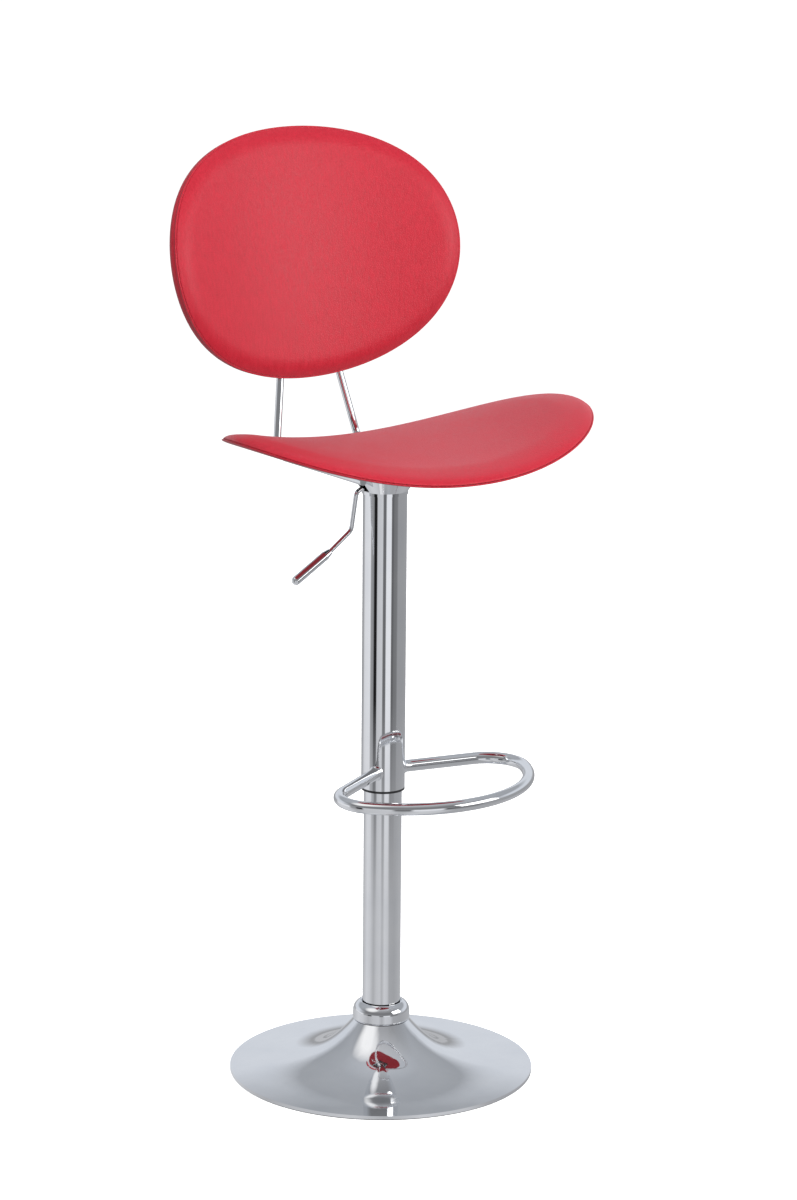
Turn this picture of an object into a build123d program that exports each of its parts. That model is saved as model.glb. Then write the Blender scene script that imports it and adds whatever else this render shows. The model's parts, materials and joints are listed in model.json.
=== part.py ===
from build123d import *
import os
from math import asin, cos, degrees, radians, sin, sqrt, tan

# Gas-lift bar stool with a bent oval seat, a bent oval backrest on two rods and a foot loop.
# Origin: on the floor under the column axis. +Z is up, the front is -Y, the sitter's left is +X.
# All lengths are millimetres and all angles degrees. The seat is drawn at the top of its travel.

# Clearances
weld_gap = 0.05
running_gap = 0.06
soft_gap = 0.3
cut_margin = 2.0
bend_margin = 30.0
rim_share = 0.9

# Floor base
base_radius = 200.0
base_wall = 1.6
base_rim_height = 6.0
base_rim_clearance = 1.5
neck_radius = 36.5
neck_height = 70.0
neck_slope = 52.0
shoulder_radius = 58.0
shoulder_height = 46.5
waist_radius = 85.0
waist_height = 27.0
apron_radius = 112.0
apron_height = 17.0
rim_slope = 6.0
floor_pad_thickness = 3.0
ballast_hub_wall = 7.0
ballast_hub_height = 42.0
ballast_disc_height = 8.0
ballast_disc_radius = 120.0
ballast_edge_height = 1.2
ballast_edge_gap = 6.4
ballast_floor = 3.0
clip_access_radius = 12.0
collar_radius = 37.5
collar_height = 25.0
collar_opening_gap = 2.0
collar_side_height = 11.5
collar_lower_round = 3.0
collar_recess = 6.0
collar_lip = 1.0

# Column
stand_radius = 25.0
stand_wall = 2.0
stand_top = 470.0
tube_overlap = 80.5
guide_bush_length = 90.0
guide_flange_thickness = 3.0
upper_radius = 28.65
upper_wall = 1.5
upper_length = 396.5
tube_bush_length = 40.0
tube_bush_flange = 3.0
tube_cap_thickness = 4.0

# Gas spring
cylinder_radius = 14.0
cylinder_wall = 1.5
cylinder_length = 385.0
cylinder_shoulder_depth = 41.0
cylinder_head_length = 22.0
shoulder_step = 1.0
taper_length = 41.0
taper_narrowing = 1.2
seal_length = 14.0
seal_lip = 2.0
rod_radius = 5.0
rod_tip_radius = 4.0
rod_tip_length = 20.0
piston_length = 14.0
piston_ring_groove = 1.2
piston_ring_width = 3.0
button_radius = 4.0
button_stem = 12.0
button_travel = 3.8
lever_to_button_gap = 0.5

# Thrust bearing at the foot of the rod
end_disc_bottom = 22.0
end_disc_thickness = 5.0
race_radius = 16.0
race_thickness = 3.0
ball_radius = 2.0
ball_pitch_radius = 11.0
ball_count = 12
ball_gap = 0.02
race_groove_depth = 0.7
bump_stop_radius = 15.0
bump_stop_height = 14.0
clip_radius = 8.0
clip_thickness = 1.5
clip_mouth = 5.0

# Foot loop
loop_tube_radius = 8.0
loop_wall = 1.5
loop_rise = 24.5
loop_front_radius = 165.0
loop_reach = 200.0
loop_corner_radius = 48.0
loop_corner_angle = 60.0
loop_arm_sweep = 12.0
loop_turn = 8.9
loop_root_x = 7.0

# Seat
seat_half_width = 258.0
seat_half_depth = 157.7
seat_bend = 655.0
seat_forward = 54.5
seat_edge_thickness = 17.0
seat_crown = 4.0
seat_edge_round = 8.5
seat_lower_round = 3.0
seat_board_thickness = 8.0
seat_board_inset = 9.0
under_cover_thickness = 1.5
under_cover_inset = 7.0

# Seat mechanism
seat_plate_width = 154.0
seat_plate_depth = 150.0
seat_plate_thickness = 3.0
seat_plate_back = 82.0
seat_plate_corner = 18.0
seat_block_width = 118.0
seat_block_depth = 130.0
seat_block_height = 9.0
seat_block_round = 6.0
socket_wall = 4.0
socket_window_width = 10.0
bell_wall = 1.2
bell_height = 31.3
bell_skirt = 4.0
bell_flare = 35.0
bell_slot_width = 15.0
bell_slot_low = 1.5
bell_slot_high = 24.0
screw_spacing_x = 92.0
screw_spacing_y = 100.0
screw_radius = 2.9
screw_head_radius = 6.5
screw_head_height = 3.5
screw_clearance = 0.4
insert_radius = 5.0
insert_length = 6.0

# Height lever, drawn in the plane y = 0 on the sitter's right. Reach is measured towards -X,
# rise and fall from the top of the outer tube.
lever_radius = 3.0
lever_pin_reach = 24.0
lever_pin_rise = 11.0
lever_pin_radius = 2.0
lever_pin_overhang = 1.5
lever_hub_radius = 5.5
lever_hub_width = 9.0
lever_ear_thickness = 3.0
lever_ear_radius = 6.0
lever_side_gap = 0.3
lever_tip_reach = -2.0
lever_tip_rise = 3.0
lever_knee_reach = 45.0
lever_knee_rise = 2.0
lever_drop_reach = 53.0
lever_drop_fall = 47.0
lever_grip_reach = 86.0
lever_grip_fall = 71.0
lever_end_reach = 143.0
lever_end_fall = 105.0
lever_knee_bend = 9.0
lever_drop_bend = 12.0
lever_hub_bend = 20.0
lever_grip_bend = 12.0
lever_seat_depth = 40.0
grip_radius = 6.0
grip_neck_radius = 4.2
grip_neck_length = 9.0

# Backrest
back_half_width = 217.5
back_half_height = 163.4
back_bend = 473.0
back_recline = 11.75
back_behind = 190.5
back_rise = 222.3
back_edge_thickness = 22.8
back_crown = 5.0
back_edge_round = 8.5
back_rear_round = 8.5
back_board_thickness = 5.0
back_board_inset = 10.0
back_pad_edge = 4.0
back_seam_round = 1.0

# Backrest rods
back_rod_radius = 5.0
back_rod_low_x = 66.0
back_rod_high_x = 47.0
back_rod_entry_rise = 60.4
back_rod_front = -45.0
back_rod_bend = 26.0
back_rod_length_inside = 120.0
back_screw_low = 40.0
back_screw_high = 100.0
back_screw_radius = 2.0
back_screw_length = 11.0
back_screw_head_radius = 4.0
back_screw_head_height = 2.2
back_screw_sink = 0.5

# Heights and radii that follow from the sizes above
stand_bore = stand_radius - stand_wall
upper_bore = upper_radius - upper_wall
cylinder_bore = cylinder_radius - cylinder_wall
ballast_bottom = floor_pad_thickness
stand_bottom = ballast_bottom + ballast_floor
end_disc_top = end_disc_bottom + end_disc_thickness
race_gap = 2 * (ball_radius - race_groove_depth + ball_gap)
upper_race_bottom = end_disc_top + race_thickness + race_gap
upper_race_top = upper_race_bottom + race_thickness
upper_bottom = stand_top - tube_overlap
upper_top = upper_bottom + upper_length
loop_height = upper_bottom + loop_rise
cylinder_shoulder = upper_top - cylinder_shoulder_depth
cylinder_bottom = cylinder_shoulder - cylinder_length
taper_bottom = cylinder_shoulder + tube_cap_thickness
taper_wide = cylinder_radius - shoulder_step
taper_narrow = taper_wide - taper_narrowing
cylinder_top = taper_bottom + taper_length
plate_bottom = upper_top + bell_height
plate_top = plate_bottom + seat_plate_thickness
seat_bottom_level = plate_top + seat_block_height + soft_gap
seat_edge_level = seat_bottom_level + seat_edge_thickness
seat_cover_top = under_cover_thickness - seat_edge_thickness
seat_board_low = seat_cover_top + soft_gap
seat_board_top = seat_board_low + seat_board_thickness
back_centre_z = seat_edge_level + back_rise
back_rod_high_z = seat_edge_level + back_rod_entry_rise
back_rod_height = plate_bottom - back_rod_radius
back_board_front = -back_pad_edge - soft_gap
back_board_rear = back_board_front - back_board_thickness
rear_pad_front = back_board_rear - soft_gap
socket_radius = cylinder_radius + socket_wall
lever_pin_height = upper_top + lever_pin_rise
lever_tip_height = lever_pin_height + lever_tip_rise
tip_slope = lever_tip_rise / (lever_pin_reach - lever_tip_reach)
lever_over_button = lever_pin_height + tip_slope * lever_pin_reach
button_top = lever_over_button - lever_radius - lever_to_button_gap
back_rod_depth = back_pad_edge + back_board_thickness + 2 * soft_gap + back_rod_radius
low_align = (Align.CENTER, Align.CENTER, Align.MIN)


def disc(radius, low, high):
    """Upright round bar between two heights on the column axis."""
    return Pos(0, 0, low) * Cylinder(radius, high - low, align=low_align)


def ring(inner, outer, low, high):
    """Upright tube between two heights on the column axis."""
    return disc(outer, low, high) - disc(inner, low - cut_margin, high + cut_margin)


def turned(*lines):
    """Solid of revolution about the column axis from an outline drawn in the XZ plane."""
    return revolve(make_face(lines), Axis.Z)


def outline(*points):
    """Closed outline in the XZ plane from (radius, height) points."""
    return Polyline(*[(r, 0, z) for r, z in points], close=True)


def bent_block(reach_x, bend, section):
    """Section in the YZ plane carried round the bend axis, equally to both sides."""
    axis = Axis((0, 0, bend), (0, 1, 0))
    angle = 2 * degrees(asin(reach_x / bend))
    return revolve(make_face(section), axis=axis, revolution_arc=angle).rotate(axis, -angle / 2)


def bent_layer(half_x, half_y, bend, low, high):
    """Bent layer of even thickness, larger than the oval that trims it."""
    reach_y = half_y + cut_margin
    corners = [(0, -reach_y, low), (0, reach_y, low), (0, reach_y, high), (0, -reach_y, high)]
    return bent_block(half_x + bend_margin, bend, Polyline(*corners, close=True))


def crowned_layer(half_x, half_y, bend, edge, crown, depth):
    """Bent layer whose upper face swells by the crown in the middle and meets the edge level."""
    crown_bend = 1 / (1 / bend - 2 * crown / half_x**2) + crown
    reach_y = half_y + cut_margin
    low = edge - depth
    top = ThreePointArc((0, reach_y, edge), (0, 0, edge + crown), (0, -reach_y, edge))
    sides = Polyline((0, -reach_y, edge), (0, -reach_y, low), (0, reach_y, low), (0, reach_y, edge))
    return bent_block(half_x + bend_margin, crown_bend, [top, sides])


def oval_wall(half_x, half_y, bend, low, high):
    """Oval core whose walls stand square to the bent surface."""
    slope = half_x / sqrt(bend**2 - half_x**2)
    bottom = Pos(0, 0, low) * Ellipse(slope * (bend - low), half_y)
    top = Pos(0, 0, high) * Ellipse(slope * (bend - high), half_y)
    return loft([bottom, top], ruled=True)


def oval_panel(half_x, half_y, bend, low, high):
    """Bent oval board of even thickness."""
    rise = bend - sqrt(bend**2 - half_x**2)
    wall = oval_wall(half_x, half_y, bend, low - cut_margin, high + rise + cut_margin)
    return bent_layer(half_x, half_y, bend, low, high) & wall


def broad_faces(panel):
    """The two largest faces of a panel, from the bottom up."""
    return panel.faces().sort_by(SortBy.AREA)[-2:].sort_by(Axis.Z)


def rounded_rim(panel, upper, lower):
    """Round the rims of a bent panel's two broad faces, the lower one first."""
    panel = fillet(broad_faces(panel)[0].edges(), lower)
    return fillet(broad_faces(panel)[-1].edges(), upper)


def cushion(half_x, half_y, bend, low, edge, crown, upper_round, lower_round):
    """Crowned bent oval cushion with drawn-in sides, lying on a bent face at the low level."""
    depth = edge - low + seat_edge_thickness
    rise = bend - sqrt(bend**2 - half_x**2)
    body = crowned_layer(half_x, half_y, bend, edge, crown, depth)
    wall = oval_wall(half_x, half_y, bend, low - cut_margin, edge + crown + rise + cut_margin)
    under = bent_layer(half_x + depth, half_y, bend, low - 2 * depth, low)
    upper = min(upper_round, rim_share * (edge - low) - lower_round)
    return rounded_rim((body & wall) - under, upper, lower_round)


def export(shape, name):
    export_step(shape, f"parts/{name}.step")


# Floor base

def flare(offset):
    """Trumpet line from the neck to the rim, moved in and down by the offset."""
    knots = [
        (neck_radius, neck_height),
        (shoulder_radius, shoulder_height),
        (waist_radius, waist_height),
        (apron_radius, apron_height),
        (base_radius, base_rim_height),
    ]
    points = [(r - offset, 0, z - offset) for r, z in knots]
    neck = radians(neck_slope)
    rim = radians(rim_slope)
    return Spline(*points, tangents=((cos(neck), 0, -sin(neck)), (cos(rim), 0, -sin(rim))))


def base_shell():
    """Spun trumpet with a turned-in top and a turned-down rim."""
    bore = stand_radius + weld_gap
    outer = flare(0)
    inner = flare(base_wall)
    rim_low = base_rim_clearance
    rim = Polyline(outer @ 1, (base_radius, 0, rim_low), (base_radius - base_wall, 0, rim_low), inner @ 1)
    ceiling = neck_height - base_wall
    top = Polyline(inner @ 0, (bore, 0, ceiling), (bore, 0, neck_height), outer @ 0)
    return turned(outer, rim, inner, top)


def floor_pad():
    """Anti-slip sheet under the base."""
    return disc(base_radius - base_wall - soft_gap, 0, floor_pad_thickness)


def ballast_plate():
    """Cast weight with the hub that holds the foot of the stand tube."""
    bore = stand_radius + weld_gap
    hub = bore + ballast_hub_wall
    edge = base_radius - ballast_edge_gap
    low = ballast_bottom
    return turned(outline(
        (clip_access_radius, low),
        (edge, low),
        (edge, low + ballast_edge_height),
        (ballast_disc_radius, low + ballast_disc_height),
        (hub, low + ballast_disc_height),
        (hub, ballast_hub_height),
        (bore, ballast_hub_height),
        (bore, stand_bottom),
        (clip_access_radius, stand_bottom),
    ))


def base_collar():
    """Domed ring that hides the joint between base and tube."""
    top_radius = stand_radius + collar_opening_gap
    low = neck_height
    high = low + collar_height
    shoulder = low + collar_side_height
    bore = stand_radius + weld_gap
    dome = TangentArc((collar_radius, 0, shoulder), (top_radius + collar_lip, 0, high), tangent=(0, 0, 1))
    rest = Polyline(
        (top_radius + collar_lip, 0, high),
        (top_radius, 0, high),
        (top_radius, 0, high - collar_recess),
        (bore, 0, high - collar_recess),
        (bore, 0, low),
        (collar_radius - collar_lower_round, 0, low),
    )
    edge = low + collar_lower_round
    roll = TangentArc(rest @ 1, (collar_radius, 0, edge), tangent=(1, 0, 0))
    side = Line((collar_radius, 0, edge), (collar_radius, 0, shoulder))
    return turned(dome, rest, roll, side)


# Column

def stand_tube():
    """Fixed lower tube."""
    return ring(stand_bore, stand_radius, stand_bottom, stand_top)


def guide_bush():
    """Plastic guide for the gas cylinder in the top of the stand tube."""
    bore = cylinder_radius + running_gap
    sleeve = ring(bore, stand_bore - weld_gap, stand_top - guide_bush_length, stand_top)
    return sleeve + ring(bore, stand_radius, stand_top, stand_top + guide_flange_thickness)


def upper_tube():
    """Sliding outer tube that carries the foot loop."""
    return ring(upper_bore, upper_radius, upper_bottom, upper_top)


def tube_bush():
    """Black glide bush in the mouth of the outer tube."""
    bore = stand_radius + running_gap
    sleeve = ring(bore, upper_bore - weld_gap, upper_bottom, upper_bottom + tube_bush_length)
    return sleeve + ring(bore, upper_radius, upper_bottom - tube_bush_flange, upper_bottom)


def tube_cap():
    """Disc in the outer tube that sits on the shoulder of the gas cylinder."""
    return ring(taper_wide + weld_gap, upper_bore - weld_gap, cylinder_shoulder, taper_bottom)


# Gas spring

def gas_cylinder():
    """Pressure tube with a shoulder, a fixing taper and a bore for the valve button."""
    head_low = cylinder_shoulder - cylinder_head_length
    body = turned(outline(
        (0, head_low),
        (cylinder_bore, head_low),
        (cylinder_bore, cylinder_bottom),
        (cylinder_radius, cylinder_bottom),
        (cylinder_radius, cylinder_shoulder),
        (taper_wide, cylinder_shoulder),
        (taper_wide, taper_bottom),
        (taper_narrow, cylinder_top),
        (0, cylinder_top),
    ))
    stem_bottom = cylinder_top - button_stem
    return body - disc(button_radius + running_gap, stem_bottom - button_travel, cylinder_top + cut_margin)


def cylinder_seal():
    """Rod guide and seal in the lower end of the cylinder."""
    bore = rod_radius + running_gap
    plug = ring(bore, cylinder_bore - weld_gap, cylinder_bottom, cylinder_bottom + seal_length)
    return plug + ring(bore, cylinder_radius, cylinder_bottom - seal_lip, cylinder_bottom)


def valve_button():
    """Release button in the top of the gas cylinder."""
    return disc(button_radius, cylinder_top - button_stem, button_top)


def piston_rod():
    """Rod with a reduced tip that hangs in the thrust bearing."""
    piston_seat = cylinder_bottom + seal_length + weld_gap
    tip = disc(rod_tip_radius, end_disc_bottom - rod_tip_length / 2, upper_race_top)
    neck = disc(rod_tip_radius, piston_seat, piston_seat + piston_length)
    return tip + disc(rod_radius, upper_race_top, piston_seat) + neck


def piston():
    """Grooved piston on the upper end of the rod."""
    low = cylinder_bottom + seal_length + weld_gap
    outer = cylinder_bore - running_gap
    middle = low + piston_length / 2
    groove_low = middle - piston_ring_width / 2
    groove_high = groove_low + piston_ring_width
    groove = ring(outer - piston_ring_groove, outer + cut_margin, groove_low, groove_high)
    return ring(rod_tip_radius + weld_gap, outer, low, low + piston_length) - groove


def end_disc():
    """Plate that closes the foot of the stand tube and carries the bearing."""
    return ring(rod_tip_radius + running_gap, stand_bore - weld_gap, end_disc_bottom, end_disc_top)


def race(low, groove_height):
    """Thrust washer with a ball groove."""
    washer = ring(rod_tip_radius + running_gap, race_radius, low, low + race_thickness)
    section = Plane.XZ * Pos(ball_pitch_radius, groove_height) * Circle(ball_radius + ball_gap)
    return washer - revolve(section, Axis.Z)


def thrust_balls():
    """Ring of balls between the two washers."""
    height = end_disc_top + race_thickness + race_gap / 2
    spots = PolarLocations(ball_pitch_radius, ball_count)
    return Compound([Pos(0, 0, height) * spot * Sphere(ball_radius) for spot in spots])


def bump_stop():
    """Rubber ring that softens the lower end of the travel."""
    bore = rod_radius + weld_gap
    return ring(bore, bump_stop_radius, upper_race_top, upper_race_top + bump_stop_height)


def rod_clip():
    """Open spring clip under the end plate."""
    high = end_disc_bottom
    blank = ring(rod_tip_radius + weld_gap, clip_radius, high - clip_thickness, high)
    mouth = Pos(clip_radius, 0, high - clip_thickness / 2)
    return blank - mouth * Box(2 * clip_radius, clip_mouth, clip_thickness + cut_margin)


# Foot loop

def foot_loop():
    """Bent tube from one side of the outer tube round to the other."""
    centre = loop_reach - loop_front_radius
    turn = radians(loop_corner_angle)
    sweep_angle = radians(loop_arm_sweep)
    front_x = loop_front_radius * sin(turn)
    front_y = centre + loop_front_radius * cos(turn)
    hub_x = (loop_front_radius - loop_corner_radius) * sin(turn)
    hub_y = centre + (loop_front_radius - loop_corner_radius) * cos(turn)
    arm_x = hub_x + loop_corner_radius * sin(sweep_angle)
    arm_y = hub_y - loop_corner_radius * cos(sweep_angle)
    root_y = arm_y - (arm_x - loop_root_x) * tan(sweep_angle)
    middle = (turn + radians(180) - sweep_angle) / 2
    bend_x = hub_x + loop_corner_radius * sin(middle)
    bend_y = hub_y + loop_corner_radius * cos(middle)
    path = Wire([
        Line((loop_root_x, -root_y), (arm_x, -arm_y)),
        ThreePointArc((arm_x, -arm_y), (bend_x, -bend_y), (front_x, -front_y)),
        ThreePointArc((front_x, -front_y), (0, -loop_reach), (-front_x, -front_y)),
        ThreePointArc((-front_x, -front_y), (-bend_x, -bend_y), (-arm_x, -arm_y)),
        Line((-arm_x, -arm_y), (-loop_root_x, -root_y)),
    ])
    start = Plane(path @ 0, z_dir=path % 0)
    tube = sweep(start * Circle(loop_tube_radius), path=path)
    bore = sweep(start * Circle(loop_tube_radius - loop_wall), path=path)
    loop = Pos(0, 0, loop_height) * Rot(0, 0, loop_turn) * (tube - bore)
    low = loop_height - 2 * loop_tube_radius
    mast = disc(upper_radius + weld_gap, low, loop_height + 2 * loop_tube_radius)
    return (loop - mast).solids().sort_by(SortBy.VOLUME)[-1]


# Seat

def seat_place():
    return Pos(0, -seat_forward, seat_edge_level)


def screw_places():
    return [loc for loc in GridLocations(screw_spacing_x, screw_spacing_y, 2, 2)]


def screw_holes(radius):
    """Four upright holes through the seat and its mounting, on the column axis."""
    high = seat_edge_level + seat_edge_thickness
    return Compound([spot * disc(radius, plate_bottom - cut_margin, high) for spot in screw_places()])


def seat_board():
    """Bent plywood core of the seat."""
    half_x = seat_half_width - seat_board_inset
    half_y = seat_half_depth - seat_board_inset
    board = seat_place() * oval_panel(half_x, half_y, seat_bend, seat_board_low, seat_board_top)
    return board - screw_holes(insert_radius + weld_gap)


def seat_pad():
    """Crowned foam and cover that wrap over the edge of the board."""
    pad = cushion(
        seat_half_width,
        seat_half_depth,
        seat_bend,
        seat_board_low,
        0,
        seat_crown,
        seat_edge_round,
        seat_lower_round,
    )
    half_x = seat_half_width - seat_board_inset + soft_gap
    half_y = seat_half_depth - seat_board_inset + soft_gap
    low = seat_board_low - cut_margin
    room = oval_panel(half_x, half_y, seat_bend, low, seat_board_top + soft_gap)
    return seat_place() * (pad - room)


def seat_under_cover():
    """Thin covered panel that closes the seat from below."""
    half_x = seat_half_width - under_cover_inset
    half_y = seat_half_depth - under_cover_inset
    cover = oval_panel(half_x, half_y, seat_bend, -seat_edge_thickness, seat_cover_top)
    return seat_place() * cover - screw_holes(screw_radius + screw_clearance)


def threaded_inserts():
    """Screw inserts in the seat board."""
    low = seat_edge_level + seat_board_low + 2 * screw_clearance
    sleeves = []
    for spot in screw_places():
        side = spot.position.X
        forward = spot.position.Y
        rise = seat_bend - sqrt(seat_bend**2 - side**2)
        sleeve = ring(screw_radius + weld_gap, insert_radius, low + rise, low + rise + insert_length)
        sleeves.append(Pos(side, forward, 0) * sleeve)
    return Compound(sleeves)


# Seat mechanism

def seat_plate():
    """Steel plate under the seat with rounded corners and screw holes."""
    centre = seat_plate_back - seat_plate_depth / 2
    sheet = RectangleRounded(seat_plate_width, seat_plate_depth, seat_plate_corner)
    plate = Pos(0, centre, plate_bottom) * extrude(sheet, amount=seat_plate_thickness)
    return plate - screw_holes(screw_radius + screw_clearance)


def seat_block():
    """Spacer with a hollowed top that beds the bent seat on the flat plate."""
    sheet = RectangleRounded(seat_block_width, seat_block_depth, seat_block_round)
    tall = seat_block_height + seat_edge_thickness
    block = Pos(0, 0, plate_top) * extrude(sheet, amount=tall)
    half_y = seat_block_depth + seat_forward
    above = bent_layer(seat_block_width, half_y, seat_bend, -seat_edge_thickness - soft_gap, tall)
    return block - seat_place() * above - screw_holes(screw_radius + screw_clearance)


def plate_screws():
    """Pan-head screws from below the plate into the inserts."""
    screws = []
    for spot in screw_places():
        side = spot.position.X
        rise = seat_bend - sqrt(seat_bend**2 - side**2)
        tip = seat_edge_level + seat_board_low + rise + insert_length
        shank = disc(screw_radius, plate_bottom, tip)
        head = disc(screw_head_radius, plate_bottom - screw_head_height, plate_bottom)
        head = fillet(head.faces().sort_by(Axis.Z)[0].edges(), screw_head_height / 2)
        screws.append(spot * (shank + head))
    return Compound(screws)


def taper_socket():
    """Socket welded under the plate: taper for the cylinder, window for the lever."""
    low = taper_bottom + weld_gap
    room = taper_narrow + weld_gap
    body = turned(outline(
        (taper_wide + weld_gap, low),
        (socket_radius, low),
        (socket_radius, plate_bottom),
        (room, plate_bottom),
        (room, cylinder_top),
    ))
    tall = plate_bottom - cylinder_top
    window = Pos(-socket_radius / 2, 0, cylinder_top + tall / 2)
    return body - window * Box(socket_radius + cut_margin, socket_window_width, tall)


def lever_bracket():
    """Two ears on the socket that hold the lever pin."""
    inner = lever_hub_width / 2 + lever_side_gap
    ears = []
    for side in (-1, 1):
        eye = Pos(-lever_pin_reach, lever_pin_height) * Circle(lever_ear_radius)
        length = lever_pin_reach - socket_radius + socket_wall
        arm = Rectangle(length, 2 * lever_ear_radius)
        arm = Pos(length / 2 - lever_pin_reach, lever_pin_height) * arm
        hole = Pos(-lever_pin_reach, lever_pin_height) * Circle(lever_pin_radius + weld_gap)
        sheet = extrude(Plane.XZ * (eye + arm - hole), amount=lever_ear_thickness / 2, both=True)
        ears.append(Pos(0, side * (inner + lever_ear_thickness / 2), 0) * sheet)
    return Compound([ear - disc(socket_radius + weld_gap, 0, plate_bottom) for ear in ears])


def lever_pin():
    """Cross pin that the lever turns on."""
    inner = lever_hub_width / 2 + lever_side_gap
    half = inner + lever_ear_thickness + lever_pin_overhang
    pin = Plane.XZ * Pos(-lever_pin_reach, lever_pin_height) * Circle(lever_pin_radius)
    return extrude(pin, amount=half, both=True)


def bell_cover():
    """Flared trim between the outer tube and the seat plate, slotted for the lever."""
    slope = tan(radians(bell_flare))
    skirt = upper_radius + weld_gap
    wide = skirt + slope * (plate_bottom - upper_top)
    low = upper_top - bell_skirt
    thick = bell_wall / cos(radians(bell_flare))
    body = turned(outline(
        (skirt, low),
        (skirt + bell_wall, low),
        (skirt + bell_wall, upper_top),
        (wide + thick, plate_bottom),
        (wide, plate_bottom),
        (skirt, upper_top),
    ))
    tall = bell_slot_high - bell_slot_low
    slot = Pos(-wide / 2 - bell_wall, 0, upper_top + bell_slot_low + tall / 2)
    return body - slot * Box(wide + 2 * bell_wall, bell_slot_width, tall)


# Height lever

def lever_points():
    return [
        (-lever_tip_reach, 0, lever_tip_height),
        (-lever_pin_reach, 0, lever_pin_height),
        (-lever_knee_reach, 0, upper_top + lever_knee_rise),
        (-lever_drop_reach, 0, upper_top - lever_drop_fall),
        (-lever_grip_reach, 0, upper_top - lever_grip_fall),
        (-lever_end_reach, 0, upper_top - lever_end_fall),
    ]


def grip_direction():
    points = lever_points()
    return (Vector(*points[5]) - Vector(*points[4])).normalized()


def release_lever():
    """Bent wire with a hub on the pin and a tail inside the grip."""
    points = lever_points()
    tail = Vector(*points[4]) + grip_direction() * lever_seat_depth
    bends = [lever_hub_bend, lever_knee_bend, lever_drop_bend, lever_grip_bend]
    path = FilletPolyline(*points[:5], tail, radius=bends)
    start = Plane(path @ 0, z_dir=path % 0)
    wire = sweep(start * Circle(lever_radius), path=path)
    half = lever_hub_width / 2
    centre = Plane.XZ * Pos(-lever_pin_reach, lever_pin_height)
    hub = extrude(centre * Circle(lever_hub_radius), amount=half, both=True)
    eye = extrude(centre * Circle(lever_pin_radius + running_gap), amount=2 * half, both=True)
    return wire + hub - eye


def lever_grip():
    """Sleeve with a slim neck and a rounded end, pushed onto the lever."""
    points = lever_points()
    length = (Vector(*points[5]) - Vector(*points[4])).length
    bore = lever_radius + weld_gap
    edge = [
        Polyline(
            (bore, 0, 0),
            (grip_neck_radius, 0, 0),
            (grip_radius, 0, grip_neck_length),
            (grip_radius, 0, length - grip_radius),
        ),
        TangentArc((grip_radius, 0, length - grip_radius), (0, 0, length), tangent=(0, 0, 1)),
        Polyline((0, 0, length), (0, 0, lever_seat_depth), (bore, 0, lever_seat_depth), (bore, 0, 0)),
    ]
    sleeve = turned(*edge)
    place = Plane(points[4], x_dir=(0, 1, 0), z_dir=grip_direction())
    return place * sleeve


# Backrest

def back_plane():
    """Plane through the middle of the front face: x across, y up along the back, z forward."""
    lean = radians(back_recline)
    return Plane((0, back_behind, back_centre_z), x_dir=(1, 0, 0), z_dir=(0, -cos(lean), sin(lean)))


def back_rod_line(side):
    """Three corner points of one rod: front end, bend and top inside the backrest."""
    lean = tan(radians(back_recline))
    face_y = back_behind + (back_rod_high_z - back_centre_z) * lean
    high_y = face_y + back_rod_depth / cos(radians(back_recline))
    high = Vector(side * back_rod_high_x, high_y, back_rod_high_z)
    drop = back_rod_high_z - back_rod_height
    corner = Vector(side * back_rod_low_x, high_y - drop * lean, back_rod_height)
    along = (high - corner).normalized()
    top = high + along * back_rod_length_inside
    front = Vector(side * back_rod_low_x, back_rod_front, back_rod_height)
    return front, corner, top


def back_rod(side):
    """Chromed rod from under the seat up into the backrest."""
    front, corner, top = back_rod_line(side)
    path = FilletPolyline(front, corner, top, radius=back_rod_bend)
    start = Plane(path @ 0, z_dir=path % 0)
    rod = sweep(start * Circle(back_rod_radius), path=path)
    for spot in back_screw_places(side):
        rod -= spot * back_screw_hole(weld_gap)
    return rod


def rod_channel(side):
    """Room for one rod in the rear pad."""
    _, corner, top = back_rod_line(side)
    along = (top - corner).normalized()
    reach = (top - corner).length + soft_gap
    return Plane(corner, z_dir=along) * disc(back_rod_radius + soft_gap, 0, reach)


def back_screw():
    """Countersunk screw pointing backwards from its head."""
    shank = back_screw_radius
    tip = -back_screw_length
    neck = -back_screw_head_height
    return turned(outline((0, 0), (back_screw_head_radius, 0), (shank, neck), (shank, tip), (0, tip)))


def back_screw_hole(gap):
    """Countersunk hole for a backrest screw, open to the front."""
    shank = back_screw_radius + gap
    head = back_screw_head_radius + gap
    tip = -back_screw_length - gap
    neck = -back_screw_head_height
    return turned(outline(
        (0, cut_margin),
        (head, cut_margin),
        (head, 0),
        (shank, neck),
        (shank, tip),
        (0, tip),
    ))


def back_screw_places(side):
    """Where the screws of one rod enter the front of the backrest board."""
    _, corner, top = back_rod_line(side)
    along = (top - corner).normalized()
    entry = top - along * back_rod_length_inside
    board_radius = back_bend - back_board_front + back_screw_sink
    places = []
    for distance in (back_screw_low, back_screw_high):
        spot = back_plane().to_local_coords(entry + along * distance)
        level = back_bend - sqrt(board_radius**2 - spot.X**2)
        places.append(back_plane() * Pos(spot.X, spot.Y, level))
    return places


def back_screws():
    """Screws through the backrest board into the rods."""
    return Compound([spot * back_screw() for side in (-1, 1) for spot in back_screw_places(side)])


def back_board():
    """Bent plywood core of the backrest."""
    half_x = back_half_width - back_board_inset
    half_y = back_half_height - back_board_inset
    board = back_plane() * oval_panel(half_x, half_y, back_bend, back_board_rear, back_board_front)
    for side in (-1, 1):
        for spot in back_screw_places(side):
            board -= spot * back_screw_hole(weld_gap)
    return board


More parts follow.
